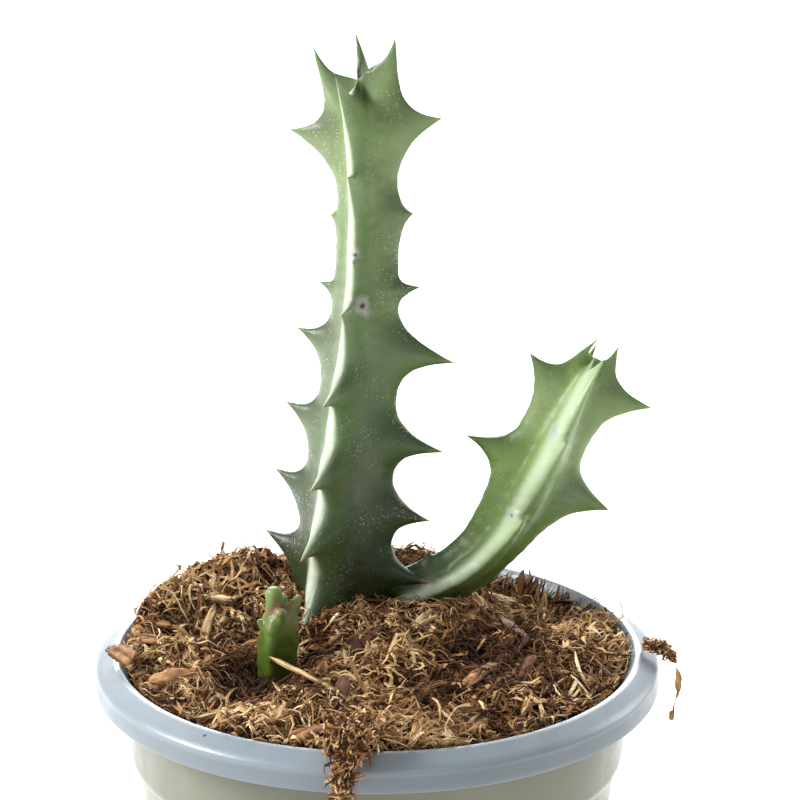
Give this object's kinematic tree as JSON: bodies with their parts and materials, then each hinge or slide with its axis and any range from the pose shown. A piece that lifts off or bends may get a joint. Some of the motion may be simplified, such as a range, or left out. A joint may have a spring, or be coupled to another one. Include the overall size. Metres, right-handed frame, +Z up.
{
  "type": "potted orbea",
  "caption": "Potted orbea: a small stapeliad with toothed four-ribbed stems and a cut stub, in coir and bark mix in a round nursery pot.",
  "frame": {"origin": "centre of the pot's underside", "axes": "+Z up, the way the tallest stem grows; -Y is the front"},
  "size_m": [0.0676, 0.0676, 0.1284],
  "materials": {
    "pot_plastic": "thin blue-grey polypropylene with a soft sheen",
    "potting_mix": "damp coir, bark and wood fibre, dark brown",
    "main_stem": "waxy sage green skin, darker blue-green at the base, tan tooth tips",
    "side_stem": "waxy mid green skin with grey-green bands",
    "stem_stub": "yellow-green skin with brownish knobs",
    "bark_tan": "dry split bark, tan to orange brown",
    "bark_dark": "dark reddish bark and root",
    "wood_pale": "pale dry wood and straw"
  },
  "bodies": {
    "root": {"pot": "pot_plastic", "potting_mix": "potting_mix", "main_stem": "main_stem", "side_stem": "side_stem", "stem_stub": "stem_stub", "bark_chip_left": "bark_tan", "bark_flake_rim": "bark_tan", "bark_sliver_left": "bark_tan", "bark_curl_left": "bark_tan", "wood_chip_pale": "wood_pale", "wood_curl_upright": "wood_pale", "bark_chip_grooved": "bark_tan", "wood_chip_small": "wood_pale", "bark_chip_orange": "bark_tan", "straw": "wood_pale", "bark_leaf_red": "bark_dark", "husk_pale": "wood_pale", "wood_curl_front": "wood_pale", "bark_chip_right": "bark_dark", "bark_flake_oval": "bark_tan", "wood_flake_pale": "wood_pale", "bark_chip_front": "bark_tan", "root_fibre": "bark_dark", "wood_chip_stem": "wood_pale", "bark_chip_middle": "bark_dark", "bark_chip_back_left": "bark_tan", "wood_chip_back": "wood_pale", "bark_flake_back": "bark_tan", "spill_clump_front": "potting_mix", "spill_crumb_right": "potting_mix", "hanging_fibre": "bark_dark"}
  },
  "joints": []
}
